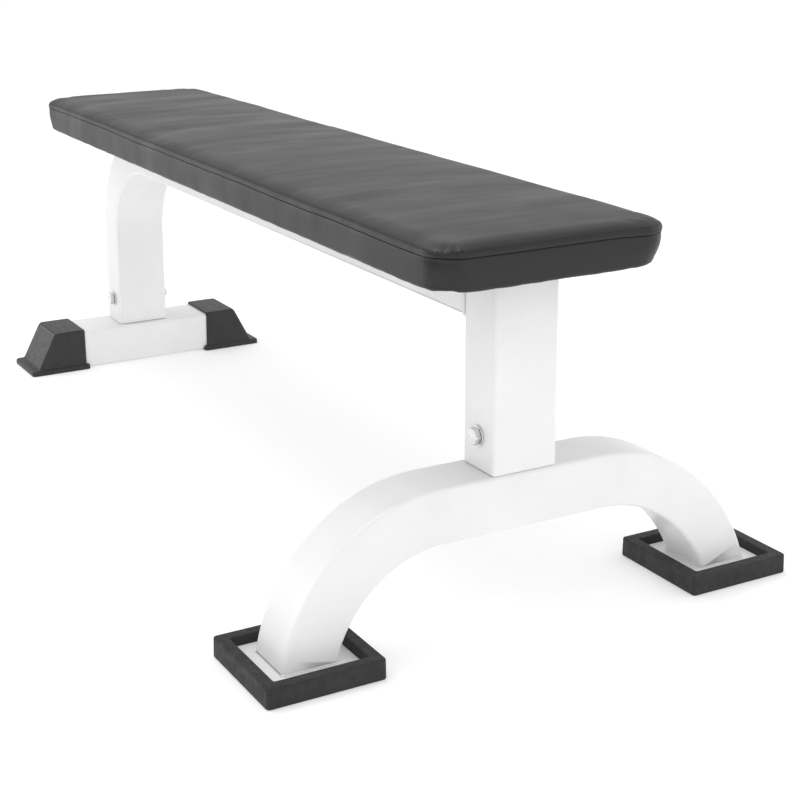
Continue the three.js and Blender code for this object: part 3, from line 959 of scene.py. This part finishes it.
def crown_height(x, y, depth, seam):
    """Height of the top panel: rounded at its edges, with a broad soft crown over its middle."""
    share = np.clip(depth / ROUND_IN, 0, 1) ** (1 / 1.15)
    round_part = np.sqrt(np.clip(1 - (1 - share) ** 2, 0, 1))
    broad = 2.6 * MM
    from_end = np.minimum(x - PAD_LOW.x, PAD_HIGH.x - x)
    from_side = FRONT_HALF - np.abs(y)
    middle = broad * ease(from_end / (95 * MM)) * ease(from_side / (95 * MM))
    rise = TOP_Z - broad - seam
    from_corner = np.hypot(from_end, from_side) / (40 * MM)
    drop = 1.6 * MM * np.exp(-(from_corner**2)) * ease(depth / (8 * MM))
    return seam + 1.2 * MM + (rise - 1.2 * MM) * round_part + middle - drop


def top_rings(outline, seam, fold):
    """The top panel, from its middle line to just above the seam."""
    corners = outline.corners
    one = np.ones(len(corners))
    rings = []
    for inset in TOP_INSETS:
        flat = inner_plan(outline, inset * MM, STRAIGHT_IN)
        x, y = flat.T
        rings.append(np.column_stack([flat, crown_height(x, y, inside_depth(x, y), seam)]))
    for inset in EDGE_INSETS:
        depth = one * inset * MM
        lip = (0.15 * corners + 1.6 * fold) * MM * math.exp(-inset / 4)
        x, y, _ = pad_ring(outline, depth, seam).T
        rings.append(pad_ring(outline, depth - lip, crown_height(x, y, depth, seam)))
    return rings


def band_rings(outline, seam, fold):
    """The seam's groove and the side band, down to where it turns under the board."""
    corners = outline.corners
    one = np.ones(len(corners))
    rings = [pad_ring(outline, one * inset * MM, seam + lift * MM) for inset, lift in SEAM_STEPS]
    foot = band_foot(outline.runs)
    for k in range(1, BAND_STEPS + 1):
        t = k / BAND_STEPS
        z = seam - 1.3 * MM + (foot - seam + 1.3 * MM) * t
        belly = 0.6 * MM * (1 - math.sin(math.pi * t) ** 0.8) - 0.3 * MM * math.sin(math.pi * t)
        tuck = (1.6 * corners**1.5 + 8.0 * fold) * MM * np.exp(-(seam - z) / (5 * MM))
        rings.append(pad_ring(outline, belly + tuck + UNDERCUT * corners * t**1.6, z))
    return rings


def band_foot(runs):
    """Height of the band's lower edge, which waves a little."""
    wave = 0.6 * MM * round_edge(EDGE_WAVE, runs, 0.05, runs * 0)
    wave += 0.35 * MM * round_edge(EDGE_WAVE, runs, 0.017, runs * 0 + 7)
    return BASE_Z + 3.6 * MM + wave


def hem_rings(outline):
    """The vinyl turned in under the board, gathered at the corners, and the closing faces above it."""
    corners, runs = outline.corners, outline.runs
    foot = band_foot(runs)
    under = UNDERCUT * corners
    gathers = (0.35 + 1.1 * corners) * round_edge(GATHER, runs, 0.010, runs * 0)
    lowest = BASE_Z - 1.9 * MM
    rings = []
    for k in range(1, HEM_STEPS + 1):
        a = math.pi / 2 * k / HEM_STEPS
        inset = 0.6 * MM + under + HEM_ROUND * (1 - math.cos(a))
        z = foot - (foot - lowest) * math.sin(a) + 1.2 * MM * gathers * math.sin(a) ** 2
        rings.append(pad_ring(outline, inset, z))
    last = rings[-1]
    inset = 0.6 * MM + under + HEM_ROUND
    for k in range(1, HEM_STEPS + 1):
        t = k / HEM_STEPS
        settle = min(1, t * 1.6) ** 0.8
        z = last[:, 2] * (1 - settle) + (BASE_Z + 0.1 * MM) * settle + 0.6 * MM * gathers * (1 - t)
        rings.append(pad_ring(outline, inset + (WINDOW - inset) * t, z))
    one = np.ones(len(runs))
    rings.append(pad_ring(outline, one * (WINDOW + 0.4 * MM), one * (BASE_Z + 1.9 * MM)))
    spine, edge = spine_of(outline.places), rings[-1][:, :2]
    for t in (0.66, 0.33, 0.0):
        rings.append(np.column_stack([spine * (1 - t) + edge * t, one * (BASE_Z + 2.0 * MM)]))
    return rings


def pad_grid(spacing):
    """The cover's points in rings, from the middle of the top down to under the board."""
    outline = pad_outline(spacing)
    seam = seam_height(outline.runs)
    fold = bell(np.hypot(*(outline.places - FOLD_PLACE).T), 13 * MM)
    rings = top_rings(outline, seam, fold) + band_rings(outline, seam, fold) + hem_rings(outline)
    return outline, np.concatenate(rings), ring_faces(len(rings), len(seam))


def vinyl_wrinkles(outline, points):
    """Ripples over the top, puckers along the seam and folds at the corners, in metres along the normal."""
    runs = outline.runs
    count = len(runs)
    rows = len(points) // count
    x, y, z = points.T
    run = np.tile(runs, rows)
    corner = np.tile(outline.corners, rows)
    row = np.repeat(np.arange(rows), count)
    above = z - np.tile(seam_height(runs), rows)
    ripple = 0.14 * MM * TOP_RIPPLE(x / 0.045 + 0.25 * y / 0.045, y / 0.18)
    ripple += 0.05 * MM * FINE_RIPPLE(x / 0.016 + 0.2 * y / 0.016, y / 0.09)
    lift = ripple * np.clip((above - 8 * MM) / (6 * MM), 0, 1)
    near_seam = np.exp(-np.abs(above - 5 * MM) / (5 * MM)) * (row >= TOP_ROWS) * (above > 0.8 * MM)
    pucker = round_edge(PUCKER, run, 0.0085, above / 0.02 + 3)
    lift += near_seam * (0.16 + 0.8 * corner) * MM * pucker
    close = bell(inside_depth(x, y), 24 * MM) * (above > 0)
    lift += close * corner * 0.45 * MM * round_edge(PUCKER, run, 0.014, above / 0.012 + 9)
    from_pucker = np.hypot(x - PUCKER_PLACE[0], y - PUCKER_PLACE[1])
    gloss = bell(from_pucker, 15 * MM) * (above > 0.8 * MM)
    lift += gloss * 1.5 * MM * round_edge(PUCKER, run, 0.0065, above / 0.009 + 30)
    side = (row >= BAND_ROW) & (z > BASE_Z + 2 * MM)
    lift += side * 0.25 * MM * round_edge(EDGE_WAVE, run, 0.03, z / 0.03)
    lift += side * corner * 0.6 * MM * round_edge(PUCKER, run, 0.012, z / 0.05 + 21)
    return lift


def grid_normals(points, faces):
    a, b, c, d = (points[faces[:, k]] for k in range(4))
    face = np.cross(c - a, d - b)
    normals = np.zeros_like(points)
    for k in range(4):
        np.add.at(normals, faces[:, k], face)
    return normals / np.maximum(np.linalg.norm(normals, axis=1), 1e-12)[:, None]


def vertex_places(mesh):
    return np.array([v.co[:] for v in mesh.vertices])


def cloth_skin(points, faces):
    """A voxel skin of the cover, its points held under the board and loosely along the seam."""
    skin = loose("cloth", make_mesh("cloth", points.tolist(), faces.tolist()))
    shape = skin.modifiers.new("voxels", "REMESH")
    shape.mode = "VOXEL"
    shape.voxel_size = 5.8 * MM
    bpy.context.view_layer.update()
    fine = bpy.data.meshes.new_from_object(evaluated(skin))
    skin.modifiers.clear()
    skin.data = fine
    held = skin.vertex_groups.new(name="held")
    for vertex in fine.vertices:
        low = vertex.co.z < BASE_Z + 4 * MM
        near = abs(vertex.co.z - SEAM_Z) < 2.5 * MM and edge_distance(vertex.co) < 6 * MM
        if low or near:
            held.add([vertex.index], 1.0 if low else 0.8, "REPLACE")
    return skin


def inflate(skin):
    """Blows the skin up as cloth and gives its points' places afterwards."""
    cloth = skin.modifiers.new("cloth", "CLOTH")
    values = cloth.settings
    values.quality = 5
    values.mass = 0.4
    values.tension_stiffness = 12
    values.compression_stiffness = 12
    values.shear_stiffness = 4
    values.bending_stiffness = 0.6
    values.use_pressure = True
    values.uniform_pressure_force = 4
    values.shrink_min = -0.012
    values.vertex_group_mass = "held"
    values.effector_weights.gravity = 0
    cloth.collision_settings.use_collision = False
    for step in range(1, 21):
        scene.frame_set(step)
    places = vertex_places(evaluated(skin).to_mesh())
    scene.frame_set(1)
    return places


def puffed(points, faces):
    """How far each point goes when the cover is blown up as cloth from a slightly smaller shape."""
    middle = np.array([(PAD_LOW.x + PAD_HIGH.x) / 2, 0, (PAD_LOW.z + PAD_HIGH.z) / 2])
    scaled = middle + (points - middle) * np.array([0.9985, 0.990, 0.97])
    skin = cloth_skin(scaled, faces)
    before = vertex_places(skin.data)
    moved = inflate(skin) - before
    bpy.data.objects.remove(skin)
    cap = 6 * MM
    length = np.linalg.norm(moved, axis=1)
    moved *= np.minimum(1, cap / np.maximum(length, 1e-9))[:, None]
    tree = kdtree.KDTree(len(before))
    for i, place in enumerate(before):
        tree.insert(place, i)
    tree.balance()
    result = np.zeros_like(points)
    for i, place in enumerate(scaled):
        total, shift = 0.0, np.zeros(3)
        for _, k, distance in tree.find_n(place, 5):
            weight = 1 / (distance + 1.5 * MM) ** 2
            total += weight
            shift += weight * moved[k]
        result[i] = shift / total
    return result


def edge_distance(place):
    t = (place.x - PAD_LOW.x) / (PAD_HIGH.x - PAD_LOW.x)
    side = REAR_HALF + (FRONT_HALF - REAR_HALF) * t - abs(place.y)
    return min(side, place.x - PAD_LOW.x, PAD_HIGH.x - place.x)


def pad_cover():
    """The vinyl cover. It keeps a fifth of the simulation's unevenness, on the top panel."""
    outline, points, faces = pad_grid(3.2 * MM)
    normals = grid_normals(points, faces)
    runs = outline.runs
    swell = (puffed(points, faces) * normals).sum(1).reshape(-1, len(runs))
    swell -= np.median(swell, axis=1)[:, None]
    swell = 0.2 * np.clip(swell.ravel(), -2 * MM, 2 * MM)
    above = points[:, 2] - np.tile(seam_height(runs), len(points) // len(runs))
    keep = np.clip((above - 3 * MM) / (8 * MM), 0, 1)
    points = points + normals * (swell * keep)[:, None]
    normals = grid_normals(points, faces)
    points = points + normals * vinyl_wrinkles(outline, points)[:, None]
    mesh = make_mesh("pad_cover_vinyl", points.tolist(), faces.tolist())
    made = piece("pad_cover_vinyl", mesh, VINYL, ["pad_cover"], False, turn=False)
    return outline, points, normals


def pad_foam():
    """The foam block, cut to the cover's crown, standing on the board."""
    _, points, faces = pad_grid(12 * MM)
    middle = (PAD_LOW.x + PAD_HIGH.x) / 2
    points[:, 0] = middle + (points[:, 0] - middle) * 0.988
    points[:, 1] *= 0.95
    points[:, 2] = np.maximum(points[:, 2] - 5 * MM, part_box("pad_board")[1].z + 0.3 * MM)
    mesh = make_mesh("pad_foam_block", points.tolist(), faces.tolist())
    piece("pad_foam_block", mesh, FOAM, ["pad_foam"], False, turn=False)


# ---- The dust cover and the topstitch ----
DUST_IN = 21 * MM  # how far its edge is inside the pad's outline
DUST_THICK = 0.4 * MM
HELD_REAR, HELD_FRONT = -0.615, 0.575  # it is held up between these
STAPLE_PITCH = 52 * MM
STAPLE = ((-5.0, 0.5), (-4.6, 0.0), (4.6, 0.0), (5.0, 0.5))  # each ring's place along it and its rise, in mm
STITCH_PITCH = 5.2 * MM
STITCH = (  # each ring's share of the pitch, then its radius and height in mm
    (0.16, 0.12, -0.25), (0.30, 0.30, 0.05), (0.50, 0.34, 0.15), (0.70, 0.30, 0.05), (0.84, 0.12, -0.25),
)


def dust_height(x, y):
    """Underside of the dust cover: held up between pad and beam, slack elsewhere."""
    from_beam = ease((np.abs(y) - 86 * MM) / (14 * MM))
    beyond = ease((x - HELD_FRONT) / 0.02) + ease((HELD_REAR - x) / 0.01)
    free = np.clip(from_beam + beyond, 0, 1)
    slack = 0.9 * MM + 0.35 * MM * TOP_RIPPLE(x / 0.05, y / 0.03 + 8)
    return BASE_Z - 0.12 * MM - free * slack


def dust_cover():
    """A thin closed sheet over the board's underside, lapping over the vinyl's hem."""
    outline = pad_outline(8 * MM)
    runs = outline.runs
    lower, upper = [], []
    for inset in (21, 21.3, 23, 26, 30, 35, 41, 48, 56, 65, 76, 90, 105, 122, SPINE_INSET):
        flat = inner_plan(outline, inset * MM, DUST_IN)
        wave = 0.25 * MM * GATHER(runs / 0.024, runs * 0) * math.exp(-(inset - 21) / 8)
        z = dust_height(flat[:, 0], flat[:, 1]) + wave
        lower.append(np.column_stack([flat, z]))
        upper.append(np.column_stack([flat, z + DUST_THICK]))
    rings = upper[::-1] + lower
    faces = ring_faces(len(rings), len(runs))
    mesh = make_mesh("dust_cover_cloth", np.concatenate(rings).tolist(), faces.tolist())
    made = piece("dust_cover_cloth", mesh, DUST, ["pad_dust_cover"], False, turn=False)
    staples(outline)


def staples(outline):
    """Flat wire staples that hold the dust cover, across its hem."""
    runs, total = outline.runs, outline.total
    section = ((-0.6, 0.3), (0.6, 0.3), (0.45, -0.3), (-0.45, -0.3))  # across and up, in mm
    verts, faces = [], []
    for s in np.arange(0, total, total / round(total / STAPLE_PITCH)):
        k = int(np.searchsorted(runs, s)) % len(runs)
        out = np.array([*outline.outs[k], 0])
        along = np.array([-out[1], out[0], 0])
        centre = np.array([*outline.places[k], 0]) - out * 25 * MM
        centre[2] = dust_height(centre[0], centre[1]) - 0.12 * MM
        tilt = 0.35 * math.sin(s * 91)
        long = math.cos(tilt) * along + math.sin(tilt) * out
        short = np.cross([0, 0, 1], long)
        faces += tube_faces(len(STAPLE), len(section), first=len(verts))
        for end, sink in STAPLE:
            for a, b in section:
                verts.append(centre + MM * (end * long + a * short) + np.array([0, 0, (b + sink) * MM]))
    mesh = make_mesh("dust_cover_staples", verts, faces)
    piece("dust_cover_staples", mesh, ZINC)


def topstitches(outline, points, normals):
    """Short threads lying along the seam, a little above it."""
    total, count = outline.total, len(outline.runs)
    row = slice((SEAM_ROW - 5) * count, (SEAM_ROW - 4) * count)
    closed = np.append(outline.runs, total)

    def between(run, values):
        return np.array([np.interp(run, closed, np.append(column, column[0])) for column in values.T])

    pitch = total / round(total / STITCH_PITCH)
    angles = np.linspace(0, TAU, 6, False)
    verts, faces = [], []
    for s in range(round(total / pitch)):
        ends = [(s + t) * pitch % total for t, _, _ in STITCH]
        centres = [between(run, points[row]) for run in ends]
        along = centres[-1] - centres[0]
        along /= np.linalg.norm(along)
        faces += tube_faces(len(STITCH), len(angles), first=len(verts))
        for run, centre, (_, width, lift) in zip(ends, centres, STITCH):
            up = between(run, normals[row])
            side = np.cross(up, along)
            for a in angles:
                verts.append(centre + up * lift * MM + MM * width * (math.cos(a) * side + math.sin(a) * up))
    mesh = make_mesh("pad_topstitch", verts, faces)
    piece("pad_topstitch", mesh, THREAD, flat_normals=False)


# ---- The scene ----
make_camera()
make_stage()
beam_and_leg()
upright()
arch()
rear_tube()
beam_weld()
foot_welds()
for side_name in ("left", "right"):
    rubber_cup(f"rubber_foot_{side_name}")
    foot_plate(f"front_foot_plate_{side_name}")
    end_cap(f"rear_end_cap_{side_name}")
fasteners()
for place_name in PAD_PLACES:
    bracket(f"pad_bracket_{place_name}")
carried_over()
pad_foam()
topstitches(*pad_cover())
dust_cover()
